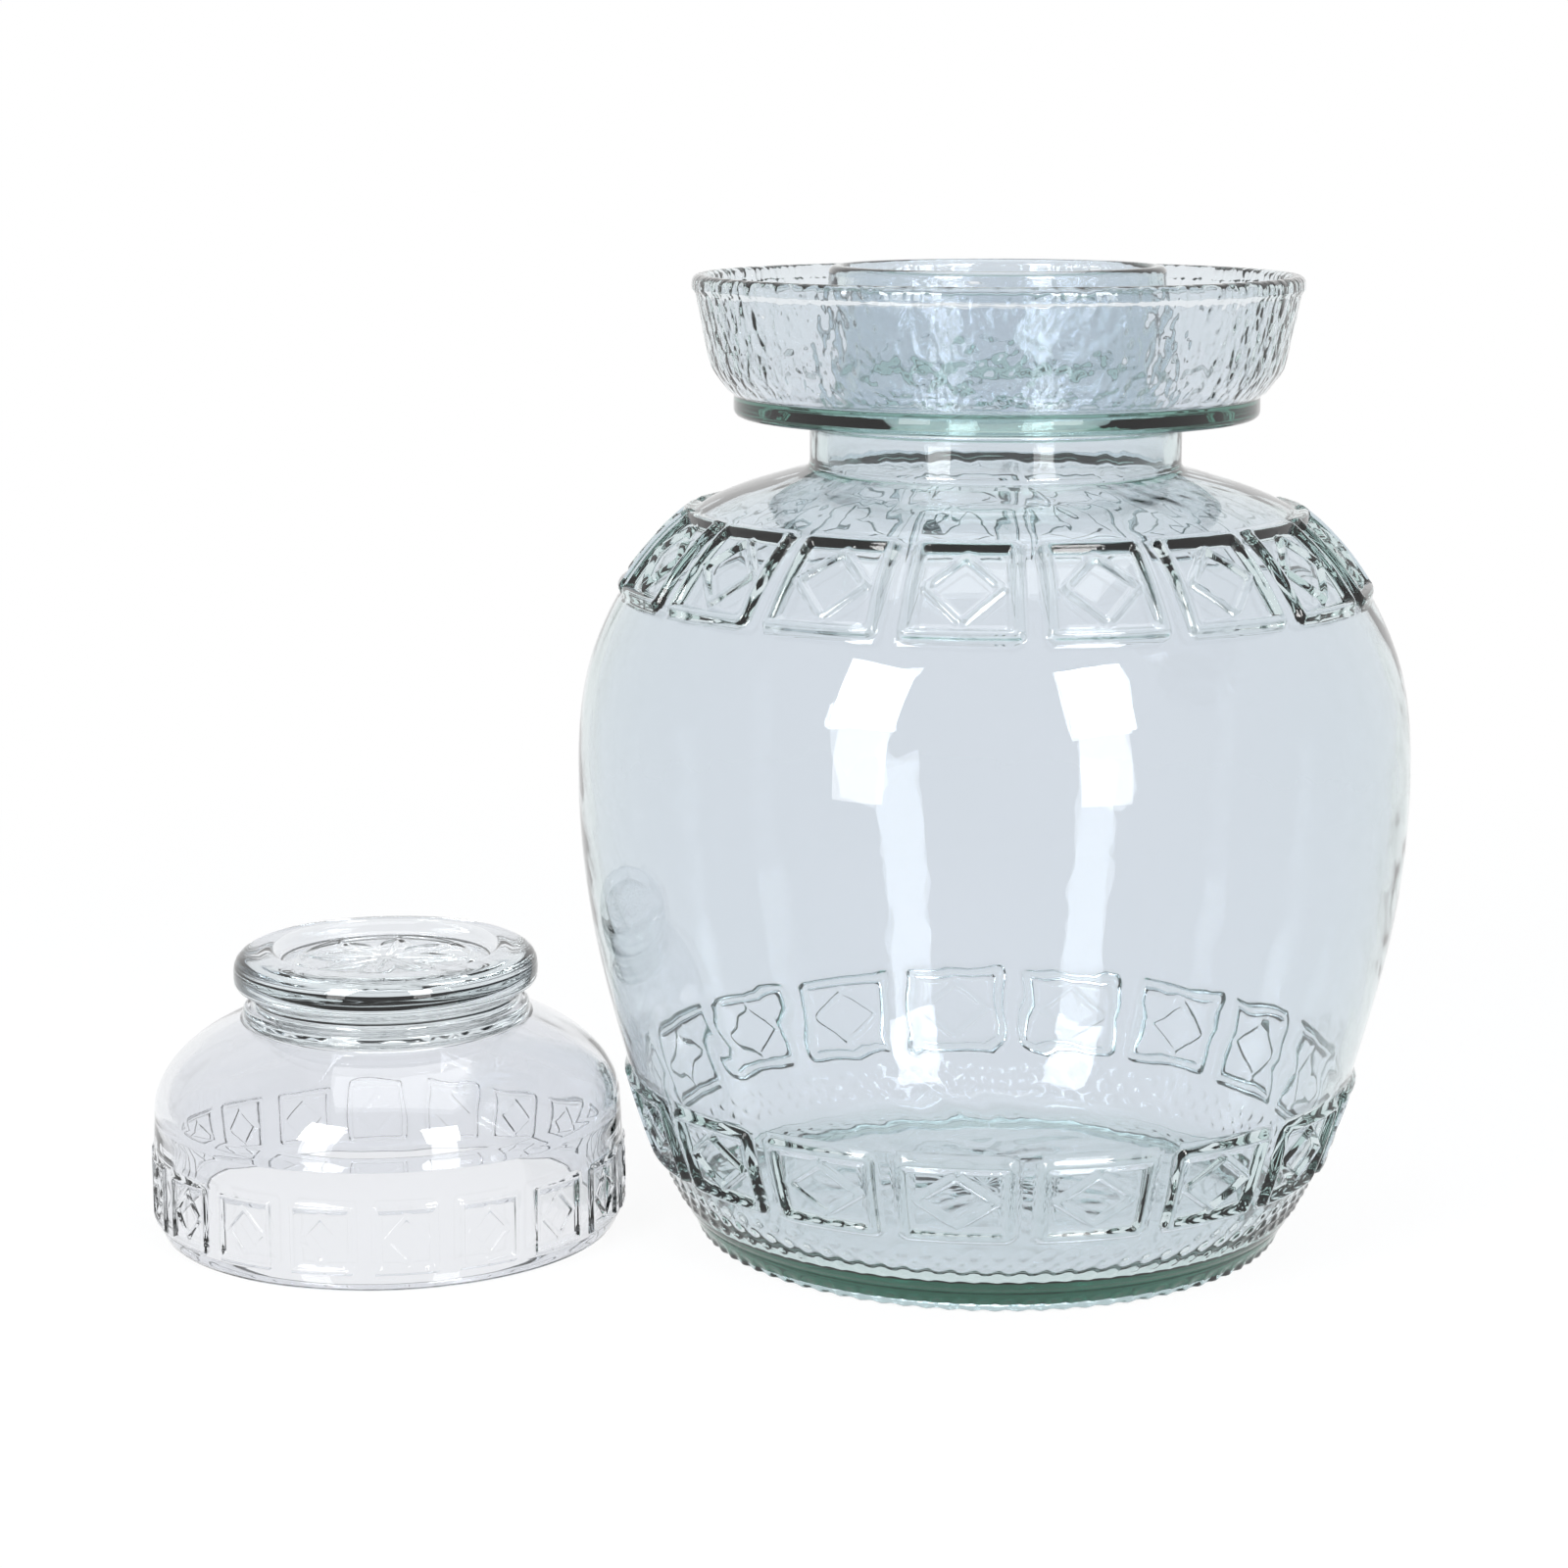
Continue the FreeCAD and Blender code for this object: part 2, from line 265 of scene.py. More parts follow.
# ================= outlines =================
def sample_path(corners, spacing, turn=math.radians(22)):
    """Points (n, 2) along straight edges through corners (r, z, fillet), with arcs in them."""
    points = []
    count = len(corners)
    for index, (r, z, fillet) in enumerate(corners):
        corner = np.array((r, z), float)
        if index in (0, count - 1) or fillet <= 0.0:
            points.append(corner)
            continue
        back = np.array(corners[index - 1][:2], float) - corner
        ahead = np.array(corners[index + 1][:2], float) - corner
        back /= np.linalg.norm(back)
        ahead /= np.linalg.norm(ahead)
        half = math.acos(np.clip(back @ ahead, -1, 1)) / 2.0
        bisector = (back + ahead) / np.linalg.norm(back + ahead)
        centre = corner + bisector * fillet / math.sin(half)
        first = corner + back * fillet / math.tan(half) - centre
        last = corner + ahead * fillet / math.tan(half) - centre
        sweep = math.pi - 2.0 * half
        steps = max(2, math.ceil(sweep / turn))
        for step in range(steps + 1):
            share = step / steps
            mixed = (math.sin((1 - share) * sweep) * first + math.sin(share * sweep) * last)
            points.append(centre + mixed / math.sin(sweep))
    return fill_gaps(np.array(points), spacing)


def fill_gaps(points, spacing):
    """Adds points so that no two neighbours are further apart than the spacing."""
    filled = [points[0]]
    for start, end in zip(points[:-1], points[1:]):
        steps = max(1, math.ceil(np.linalg.norm(end - start) / spacing))
        for step in range(1, steps + 1):
            filled.append(start + (end - start) * step / steps)
    return np.array(filled)


def spline(points, first, last, steps):
    """C2 cubic through the points with the given end directions, sampled densely."""
    points = np.array(points, float)
    chords = np.linalg.norm(np.diff(points, axis=0), axis=1)
    count = len(points)
    system = np.zeros((count, count))
    right = np.zeros((count, 2))
    system[0, 0] = system[-1, -1] = 1.0
    right[0] = np.array(first) / np.linalg.norm(first)
    right[-1] = np.array(last) / np.linalg.norm(last)
    for k in range(1, count - 1):
        before, after = chords[k - 1], chords[k]
        system[k, k - 1:k + 2] = after, 2.0 * (before + after), before
        slope_before = (points[k] - points[k - 1]) / before
        slope_after = (points[k + 1] - points[k]) / after
        right[k] = 3.0 * (after * slope_before + before * slope_after)
    slopes = np.linalg.solve(system, right)
    samples = []
    for k, chord in enumerate(chords):
        t = np.linspace(0.0, 1.0, steps, endpoint=False)[:, None]
        samples.append(
            (2 * t**3 - 3 * t**2 + 1) * points[k] + (t**3 - 2 * t**2 + t) * chord * slopes[k]
            + (3 * t**2 - 2 * t**3) * points[k + 1] + (t**3 - t**2) * chord * slopes[k + 1])
    samples.append(points[-1:])
    return np.vstack(samples)


def normals_along(path):
    """Unit normals to the right of a path's direction, which is outward on the way up."""
    tangent = np.gradient(path, axis=0)
    tangent /= np.linalg.norm(tangent, axis=1)[:, None]
    return np.stack([tangent[:, 1], -tangent[:, 0]], 1)


def resample(path, places):
    """Points of a path at shares of its length."""
    length = np.concatenate([[0], np.cumsum(np.linalg.norm(np.diff(path, axis=0), axis=1))])
    wanted = np.asarray(places) * length[-1]
    return np.stack([np.interp(wanted, length, path[:, k]) for k in (0, 1)], 1)


# ================= ripples of the glass =================
def ripple(seed, waves, around, along):
    """Smooth random field over turn and length, periodic round the axis, about -1 to 1."""
    source = np.random.default_rng(seed)
    turns = source.integers(-around, around + 1, waves)
    runs = source.uniform(-1.0, 1.0, waves) * TURN / along
    phases = source.uniform(0.0, TURN, waves)

    def field(angle, length):
        total = np.zeros(np.broadcast(angle, length).shape)
        for turn, run, phase in zip(turns, runs, phases):
            total += np.sin(turn * angle + run * length + phase)
        return total / math.sqrt(waves / 2.0) / 2.0
    return field


# ================= rings and the skin between them =================
class Skin:
    """Rings of points from the bottom of a closed outline round to its other end."""

    def __init__(self, x=0.0, y=0.0):
        self.centre = (x, y)
        self.rings = []
        self.flips = []

    def add(self, angles, radius, height, flip=None):
        """A ring of points; flip tells where its quads to the next ring split the other way."""
        angles = np.asarray(angles, float)
        radius = np.broadcast_to(radius, angles.shape)
        height = np.broadcast_to(height, angles.shape)
        self.rings.append((angles, radius, height))
        self.flips.append(flip)

    def add_path(self, path, count, seam, offset=None, normals=None):
        """Plain rings along a path, each moved along the path's normal by offset(angle, s)."""
        angles = math.radians(seam) + np.arange(count) * TURN / count
        normals = normals_along(path) if normals is None else normals
        length = np.concatenate([[0], np.cumsum(np.linalg.norm(np.diff(path, axis=0), axis=1))])
        for point, normal, run in zip(path, normals, length):
            move = 0.0 if offset is None else offset(angles, run, point)
            self.add(angles, point[0] + normal[0] * move, point[1] + normal[1] * move)

    def mesh(self, name, low_pole, high_pole):
        """Closed mesh of the rings, ending in a point on the axis at each end."""
        points = [np.array([[0.0, 0.0, low_pole]])]
        starts = []
        total = 1
        for angles, radius, height in self.rings:
            starts.append(total)
            total += len(angles)
            points.append(np.stack(
                [radius * np.sin(angles), -radius * np.cos(angles), height], 1))
        points.append(np.array([[0.0, 0.0, high_pole]]))
        faces = [fan(0, starts[0], len(self.rings[0][0]), True)]
        for index in range(len(self.rings) - 1):
            lower, upper = self.rings[index], self.rings[index + 1]
            if len(lower[0]) == len(upper[0]):
                faces.append(band(starts[index], starts[index + 1], len(lower[0]),
                                  self.flips[index]))
            else:
                faces.append(zipper(starts[index], starts[index + 1], lower[0], upper[0]))
        faces.append(fan(total, starts[-1], len(self.rings[-1][0]), False))
        points = np.vstack(points) + np.array([self.centre[0], self.centre[1], 0.0])
        return build_mesh(name, points * METRES, np.vstack(faces))


def fan(pole, start, count, is_low):
    """Triangles from a ring to a point on the axis."""
    ring = start + np.arange(count)
    following = start + (np.arange(count) + 1) % count
    poles = np.full(count, pole)
    order = (poles, following, ring) if is_low else (poles, ring, following)
    return np.stack(order, 1)


def band(low, high, count, flip):
    """Triangles between two rings of as many points."""
    ring = np.arange(count)
    following = (ring + 1) % count
    a, b, c, d = low + ring, low + following, high + following, high + ring
    flip = np.zeros(count, bool) if flip is None else flip
    first = np.where(flip[:, None], np.stack([a, b, d], 1), np.stack([a, b, c], 1))
    second = np.where(flip[:, None], np.stack([b, c, d], 1), np.stack([a, c, d], 1))
    return np.vstack([first, second])


def zipper(low, high, low_angles, high_angles):
    """Triangles between two rings of different counts, taken in the order of their turn."""
    low_next = np.append(low_angles[1:], low_angles[0] + TURN)
    high_next = np.append(high_angles[1:], high_angles[0] + TURN)
    low_count, high_count = len(low_angles), len(high_angles)
    triangles = []
    i = j = 0
    while i < low_count or j < high_count:
        take_low = j >= high_count or (i < low_count and low_next[i] <= high_next[j])
        here, there = low + i % low_count, high + j % high_count
        if take_low:
            triangles.append((here, low + (i + 1) % low_count, there))
            i += 1
        else:
            triangles.append((here, high + (j + 1) % high_count, there))
            j += 1
    return np.array(triangles)


def build_mesh(name, points, triangles):
    """Smooth-shaded object of the triangles, in the scene."""
    mesh = bpy.data.meshes.new(name)
    mesh.vertices.add(len(points))
    mesh.vertices.foreach_set("co", points.ravel())
    mesh.loops.add(3 * len(triangles))
    mesh.loops.foreach_set("vertex_index", triangles.ravel().astype(np.int32))
    mesh.polygons.add(len(triangles))
    mesh.polygons.foreach_set("loop_start", np.arange(0, 3 * len(triangles), 3, dtype=np.int32))
    mesh.polygons.foreach_set("use_smooth", np.ones(len(triangles), bool))
    mesh.update(calc_edges=True)
    mesh.validate()
    piece = bpy.data.objects.new(name, mesh)
    bpy.context.collection.objects.link(piece)
    return piece


# ================= bands of framed diamonds =================
def arch(distance, reach):
    """Height from 0 to 1 of a round-topped ridge at a distance from its middle line."""
    return np.clip(1.0 - (distance / reach) ** 2, 0.0, None)


class DiamondBand:
    """Frames and diamonds between two points of an outline, on a grid that follows them."""
    cells = 7
    rib_cells = 5
    reach = 6.0

    def __init__(self, outline, low, high, count, gaps, rib, corner, ridge, margin, line):
        low, high = np.array(low), np.array(high)
        self.count = count
        self.rib, self.corner, self.ridge, self.line = rib, corner, ridge, line
        self.tall = np.linalg.norm(high - low)
        self.up = (high - low) / self.tall
        half_pitch = math.sin(math.pi / count)
        self.half_low = low[0] * half_pitch - gaps[0] / 2.0
        self.half_high = high[0] * half_pitch - gaps[1] / 2.0
        self.diamond = ((self.half_low + self.half_high) / 2.0 - rib - margin,
                        self.tall / 2.0 - rib - margin)
        self.low = low
        keep = (outline - low) @ self.up
        inside = (keep > -self.reach) & (keep < self.tall + self.reach)
        self.path, self.places = outline[inside], keep[inside]
        self.normals = normals_along(self.path)

    def half_width(self, place):
        """Half the frame's outside width at a height up the band."""
        share = np.clip(place / self.tall, 0.0, 1.0)
        return self.half_low + (self.half_high - self.half_low) * share

    def rows(self):
        """Heights up the band of its rings, with the diamond's number of each, if any."""
        rib = [(self.rib * k / self.rib_cells, None) for k in range(self.rib_cells + 1)]
        middle, reach = self.tall / 2.0, self.diamond[1]
        diamond = [(middle + reach * k / self.cells, k) for k in range(-self.cells, self.cells + 1)]
        top = [(self.tall - place, None) for place, _ in reversed(rib)]
        return rib + diamond + top

    def relief(self, x, place):
        """Height of the frame and the diamond above the wall."""
        width = self.half_width(place) - self.rib / 2.0
        middle = self.tall / 2.0
        core = self.corner - self.rib / 2.0
        across = np.abs(x) - (width - core)
        along = abs(place - middle) - (middle - self.rib / 2.0 - core)
        outside = np.hypot(np.clip(across, 0, None), max(along, 0.0))
        distance = outside + np.minimum(np.maximum(across, along), 0.0) - core
        frame_height = self.ridge * arch(np.abs(distance), self.rib / 2.0)
        a, b = self.diamond
        share = np.abs(x) / a + abs(place - middle) / b
        crest_height = self.line * arch((share - 1.0) * self.cells, 1.0)
        return np.maximum(frame_height, crest_height)

    def columns(self, place, radius):
        """Half the columns of one panel at a height, from its middle to the gap's middle."""
        a = self.diamond[0]
        outer = self.half_width(place)
        inner = outer - self.rib
        edge = radius * math.sin(math.pi / self.count)
        parts = [a * np.arange(self.cells + 1) / self.cells,
                 inner + self.rib * np.arange(self.rib_cells + 1) / self.rib_cells,
                 outer + (edge - outer) * np.array([0.5, 1.0])]
        return np.concatenate(parts)

    def add_to(self, skin, seam, offset):
        """Adds the band's rings to a skin."""
        for place, number in self.rows():
            point = np.array([np.interp(place, self.places, self.path[:, k]) for k in (0, 1)])
            normal = np.array([np.interp(place, self.places, self.normals[:, k]) for k in (0, 1)])
            half = self.columns(place, point[0])
            x = np.concatenate([-half[:0:-1], half[:-1]])
            turn = np.arcsin(np.clip(x / point[0], -1, 1))
            panels = math.radians(seam) + (np.arange(self.count) + 0.5) * TURN / self.count
            angles = (panels[:, None] + turn).ravel()
            height = np.tile(self.relief(x, place), self.count) + offset(angles, place, point)
            flip = None
            if number is not None and number < self.cells:
                right = x >= -1e-9
                flip = np.tile(right == (number >= 0), self.count)
            skin.add(angles, point[0] + normal[0] * height, point[1] + normal[1] * height, flip)


# ================= the jar =================
def body_outline():
    """Outside of the body from the heel to the shoulder."""
    points = [(foot_radius + foot_draft + 1.0, foot_height + 1.0), lower_low, lower_high,
              lower_swell, (body_radius, widest_height), upper_swell,
              upper_low, upper_high, shoulder]
    first = np.subtract(lower_low, points[0])
    return spline(points, first, (-1.0, shoulder_slope), 60)


def part_of(outline, low, high):
    """Stretch of an upward outline between two heights."""
    heights = outline[:, 1]
    keep = (heights > low) & (heights < high)
    return outline[keep]


def nubs(angles, point):
    """Height of the small nubs in staggered rows round the heel."""
    total = np.zeros_like(angles)
    step = TURN / nub_count
    for row, height in enumerate(nub_rows):
        phase = (angles - math.radians(jar_seam)) / step + 0.5 * (row % 2)
        across = (phase - np.round(phase)) * step * point[0]
        distance = np.hypot(across, point[1] - height)
        total = np.maximum(total, nub_height * arch(np.minimum(distance, nub_radius), nub_radius))
    return total


def make_jar_skin():
    """Closed skin of the jar, inside and outside."""
    outline = body_outline()
    outer_wave = ripple(11, 26, 5, 90.0)
    fine_wave = ripple(12, 40, 16, 34.0)
    hammer = ripple(13, 90, 150, 4.2)
    dapple = ripple(14, 60, 60, 11.0)
    inner_wave = ripple(15, 30, 7, 60.0)
    base_wave = ripple(16, 60, 22, 12.0)

    def plain(angles, run, point):
        return (wall_depth * outer_wave(angles, point[1])
                + wall_fine_depth * fine_wave(angles, point[1]))

    def hammered(angles, run, point):
        return dent_depth * hammer(angles, point[1]) + dapple_depth * dapple(angles, point[1])

    def wavy(angles, run, point):
        return (inside_depth * inner_wave(angles, point[1])
                + inside_dapple_depth * dapple(angles, point[1] + point[0]))

    skin = Skin()
    underside = sample_path([(axis_gap, push_up, 0),
                             (bearing_radius - push_up, push_up, bearing_round),
                             (bearing_radius, 0.0, 0), (foot_radius - foot_land, 0.0, 0)],
                            underside_step)
    skin.add_path(underside, underside_ring, jar_seam)

    def scallops(angles, run, point):
        phase = (angles - math.radians(jar_seam)) * scallop_count
        lift = 0.5 + 0.5 * np.cos(phase)
        distance = min(abs(point[1] - scallop_middle), scallop_reach)
        return -scallop_height * (1.0 - lift) * arch(distance, scallop_reach)

    foot_top = foot_radius + foot_draft
    foot = sample_path([(foot_radius - foot_inset, 0.0, 0), (foot_radius, 0.0, foot_round),
                        (foot_top, foot_height, foot_top_round),
                        (foot_top, foot_height + foot_top_rise, 0)], foot_step)
    skin.add_path(foot, foot_ring, jar_seam, scallops)
    heel = part_of(outline, heel_start, lower_low[1] - heel_margin)
    heel = resample(heel, np.linspace(0, 1, heel_rows))
    skin.add_path(heel, heel_ring, jar_seam,
                  lambda angles, run, point: nubs(angles, point) + plain(angles, run, point))
    lower = DiamondBand(outline, lower_low, lower_high, panel_count, lower_gaps, rib_width,
                        rib_corner, rib_height, diamond_margin, diamond_height)
    lower.add_to(skin, jar_seam, plain)
    belly = part_of(outline, lower_high[1] + belly_margins[0], upper_low[1] - belly_margins[1])
    belly = resample(belly, np.linspace(0, 1, belly_rows))
    skin.add_path(belly, belly_ring, jar_seam, plain)
    upper = DiamondBand(outline, upper_low, upper_high, panel_count, upper_gaps, rib_width,
                        rib_corner, rib_height, diamond_margin, diamond_height)
    upper.add_to(skin, jar_seam, plain)
    slope = outline[(outline[:, 1] > upper_high[1] + slope_margins[0])
                    & (outline[:, 0] > shoulder[0] + slope_margins[1])]
    slope = resample(slope, np.linspace(0, 1, slope_rows))
    neck = sample_path([shoulder + (0,), (neck_radius, shoulder_height, neck_round),
                        (neck_radius, trough_base, neck_round),
                        (step_radius, trough_base, step_round),
                        (step_radius, trough_base + step_height, step_edge),
                        step_end + (0,)], neck_step)
    skin.add_path(np.vstack([slope, neck]), neck_ring, jar_seam,
                  lambda angles, run, point: shoulder_share * wavy(angles, run, point))
    trough_side = sample_path([trough_start + (0,),
                               (trough_turn_radius, trough_turn_height, trough_turn_round),
                               (trough_rim_radius - rim_bead, trough_rim - rim_bead_height,
                                bead_round),
                               (trough_rim_radius, trough_rim - rim_bead_height + rim_bead,
                                bead_edge)], trough_step)
    skin.add_path(trough_side, trough_ring, jar_seam, hammered)
    rim_inside = trough_rim_radius - trough_wall
    rim = sample_path([(trough_rim_radius, trough_rim - rim_outside_join, 0),
                       (trough_rim_radius, trough_rim, rim_round),
                       (rim_inside, trough_rim, rim_round),
                       (rim_inside - rim_inside_joins[0][0],
                        trough_rim - rim_inside_joins[0][1], 0)], rim_step)
    skin.add_path(rim, rim_ring, jar_seam,
                  lambda angles, run, point: rim_share * hammered(angles, run, point))
    trough_inner_radius = trough_turn_radius - trough_wall
    inside = sample_path([(rim_inside - rim_inside_joins[1][0],
                           trough_rim - rim_inside_joins[1][1], 0),
                          (trough_inner_radius, trough_turn_height, trough_turn_round),
                          (channel_radius, trough_inside, channel_round),
                          (mouth_root_radius, trough_inside, mouth_root_round),
                          (mouth_radius, jar_height - mouth_outside_joins[0], 0)], wall_step)
    skin.add_path(inside, channel_ring, jar_seam, wavy)
    mouth = sample_path([(mouth_radius, jar_height - mouth_outside_joins[1], 0),
                         (mouth_radius, jar_height, mouth_round),
                         (mouth_bore, jar_height, mouth_round),
                         (mouth_bore, jar_height - mouth_inside_joins[0], 0)], rim_step)
    skin.add_path(mouth, mouth_ring, jar_seam)
    bore = sample_path([(mouth_bore, jar_height - mouth_inside_joins[1], 0),
                        (mouth_bore, trough_base + bore_rise, neck_round),
                        (neck_bore, trough_base - neck_round, neck_round),
                        (neck_bore, neck_bore_end, neck_round),
                        shoulder_inside + (0,)], wall_step)
    skin.add_path(bore, inside_ring, jar_seam, wavy)
    normals = normals_along(outline)
    inner = (outline - normals * body_wall)[::-1]
    inner = inner[(inner[:, 1] > inside_low) & (inner[:, 0] > inside_least_radius)
                  & (inner[:, 1] < inside_high)]
    inner = resample(inner, np.linspace(0, 1, inside_rows))
    floor = sample_path([tuple(inner[-1]) + (0,), (floor_radius, floor_height, floor_round),
                         (axis_gap, floor_height, 0)], wall_step)[1:]

    def base_ripple(angles, run, point):
        depth = base_depth * np.clip((base_radius - point[0]) / base_fade, 0.0, 1.0)
        return (depth * base_wave(angles, point[0])
                + base_share * wavy(angles, run, point))

    skin.add_path(inner, inside_ring, jar_seam, wavy)
    skin.add_path(floor, inside_ring, jar_seam, base_ripple)
    return skin.mesh("jar_glass", push_up, floor_height)


# ================= the lid =================
def rosette(angles, point):
    """Generic eight-petalled flower in low relief on the knob's recess."""
    radius = point[0]
    petal = petal_middle + petal_swing * np.abs(np.cos(4.0 * angles))
    ring = arch(np.minimum(np.abs(radius - petal), petal_width), petal_width)
    ray = arch(np.minimum(np.abs(radius * np.sin(4.0 * angles)) / 4.0, 1.0), 1.0)
    ray = ray * float(ray_from < radius < ray_to)
    rim = arch(min(abs(radius - flower_rim), flower_rim_width), flower_rim_width)
    return flower_height * np.maximum(np.maximum(ring, 0.7 * ray), rim)


def make_lid_skin():
    """Closed skin of the lid, standing on its rim."""
    wave = ripple(21, 26, 6, 50.0)
    inner_wave = ripple(22, 30, 8, 34.0)
    fine = ripple(23, 50, 30, 14.0)

    def plain(angles, run, point):
        return lid_depth * wave(angles, point[1]) + lid_fine_depth * fine(angles, point[1])

    def wavy(angles, run, point):
        return (lid_inside_depth * inner_wave(angles, point[1] + point[0])
                + lid_inside_fine_depth * fine(angles, point[1]))

    skirt_top = (lid_radius - 0.6, lid_skirt_height)
    crown = (collar_radius, lid_dome_height)
    dome = spline([skirt_top, (haunch[0], lid_skirt_height + haunch[1]), crown],
                  (0.0, 1.0), (-1.0, 0.55), 60)
    dome_normals = normals_along(dome)
    dome_inside = (dome - dome_normals * lid_wall)[::-1]
    skin = Skin(lid_x, lid_y)
    ceiling_height = dome_inside[0][1]
    ceiling = sample_path([(axis_gap, ceiling_height, 0), (dome_inside[0][0], ceiling_height, 0)],
                          ceiling_step)
    inside = resample(dome_inside, np.linspace(0, 1, dome_rows))[1:]
    ledge = sample_path([tuple(inside[-1]) + (0,), ledge_corner + (ledge_round,),
                         (skirt_bore, 0.0, skirt_foot_round), (skirt_foot, 0.0, skirt_foot_round),
                         skirt_step + (skirt_step_round,), (lid_radius, skirt_start, 0)],
                        skirt_spacing)[1:]

    def calmer_below(angles, run, point):
        share = skirt_foot_share if point[1] < 2.0 else 1.0
        return share * plain(angles, run, point)

    skin.add_path(np.vstack([ceiling, inside]), lid_inside_ring, lid_seam, wavy)
    skin.add_path(ledge[:-1], lid_inside_ring, lid_seam, calmer_below)
    straight = np.array([[lid_radius, h] for h in np.linspace(-2.0, lid_skirt_height, 60)])
    panels = DiamondBand(straight, (lid_radius, lid_band_height),
                         (lid_radius, lid_band_height + lid_band_rise), lid_panel_count,
                         (lid_gap, lid_gap),
                         lid_rib_width, lid_rib_corner, lid_rib_height, lid_diamond_margin,
                         lid_diamond_height)
    panels.add_to(skin, lid_seam, plain)
    skirt = sample_path([(lid_radius, lid_band_height + lid_band_rise + 1.2, 0),
                         skirt_top + (0,)], skirt_spacing)
    dome_outside = resample(dome, np.linspace(0, 1, dome_rows))[1:]
    skin.add_path(np.vstack([skirt, dome_outside]), lid_outside_ring, lid_seam, plain)
    collar_top = lid_dome_height + collar_height
    knob_base = collar_top + throat_rise
    recess_floor = lid_height - recess_depth
    knob = sample_path([
        crown + (0,), (collar_radius, collar_top, collar_round),
        (throat_radius, collar_top, collar_round), (throat_radius, knob_base, collar_round),
        (knob_radius, knob_base + knob_flare, knob_under_round),
        (knob_radius, lid_height, knob_round), (recess_radius, lid_height, recess_edge_round),
        (recess_radius - recess_draft, recess_floor, recess_round),
        (recess_join[0], recess_floor, 0)], knob_step)[1:]
    skin.add_path(knob, lid_outside_ring, lid_seam,
                  lambda angles, run, point: knob_share * plain(angles, run, point))
    recess = sample_path([(recess_join[1], recess_floor, 0), (lid_axis_gap, recess_floor, 0)],
                         recess_step)
    skin.add_path(recess, recess_ring, 0.0, lambda angles, run, point: rosette(angles, point))
    return skin.mesh("lid_glass", ceiling_height, recess_floor + 0.4)


# ================= materials =================
def node_tree(name):
    """New material with only an output node."""
    material = bpy.data.materials.new(name)
    material.use_nodes = True
    tree = material.node_tree
    tree.nodes.clear()
    output = tree.nodes.new("ShaderNodeOutputMaterial")
    return material, tree, output


def noise(tree, place, scale, detail, stretch=(1.0, 1.0, 1.0)):
    """Noise texture over object coordinates in metres."""
    mapping = tree.nodes.new("ShaderNodeMapping")
    mapping.inputs["Scale"].default_value = stretch
    texture = tree.nodes.new("ShaderNodeTexNoise")
    texture.inputs["Scale"].default_value = scale
    texture.inputs["Detail"].default_value = detail
    tree.links.new(place.outputs["Object"], mapping.inputs["Vector"])
    tree.links.new(mapping.outputs["Vector"], texture.inputs["Vector"])
    return texture


def hammered_zone(tree, place, inner_radius):
    """1 outside a circle round the jar's axis and 0 inside it, above the trough's floor."""
    flat = tree.nodes.new("ShaderNodeVectorMath")
    flat.operation = "MULTIPLY"
    flat.inputs[1].default_value = (1.0, 1.0, 0.0)
    radius = tree.nodes.new("ShaderNodeVectorMath")
    radius.operation = "LENGTH"
    outside = tree.nodes.new("ShaderNodeMapRange")
    outside.inputs["From Min"].default_value = inner_radius
    outside.inputs["From Max"].default_value = inner_radius * 1.05
    split = tree.nodes.new("ShaderNodeSeparateXYZ")
    above = tree.nodes.new("ShaderNodeMapRange")
    above.inputs["From Min"].default_value = trough_inside * METRES
    above.inputs["From Max"].default_value = (trough_inside + 4.0) * METRES
    zone = tree.nodes.new("ShaderNodeMath")
    zone.operation = "MULTIPLY"
    tree.links.new(place.outputs["Object"], flat.inputs[0])
    tree.links.new(flat.outputs["Vector"], radius.inputs[0])
    tree.links.new(radius.outputs["Value"], outside.inputs["Value"])
    tree.links.new(place.outputs["Object"], split.inputs["Vector"])
    tree.links.new(split.outputs["Z"], above.inputs["Value"])
    tree.links.new(outside.outputs["Result"], zone.inputs[0])
    tree.links.new(above.outputs["Result"], zone.inputs[1])
    return zone.outputs["Value"]


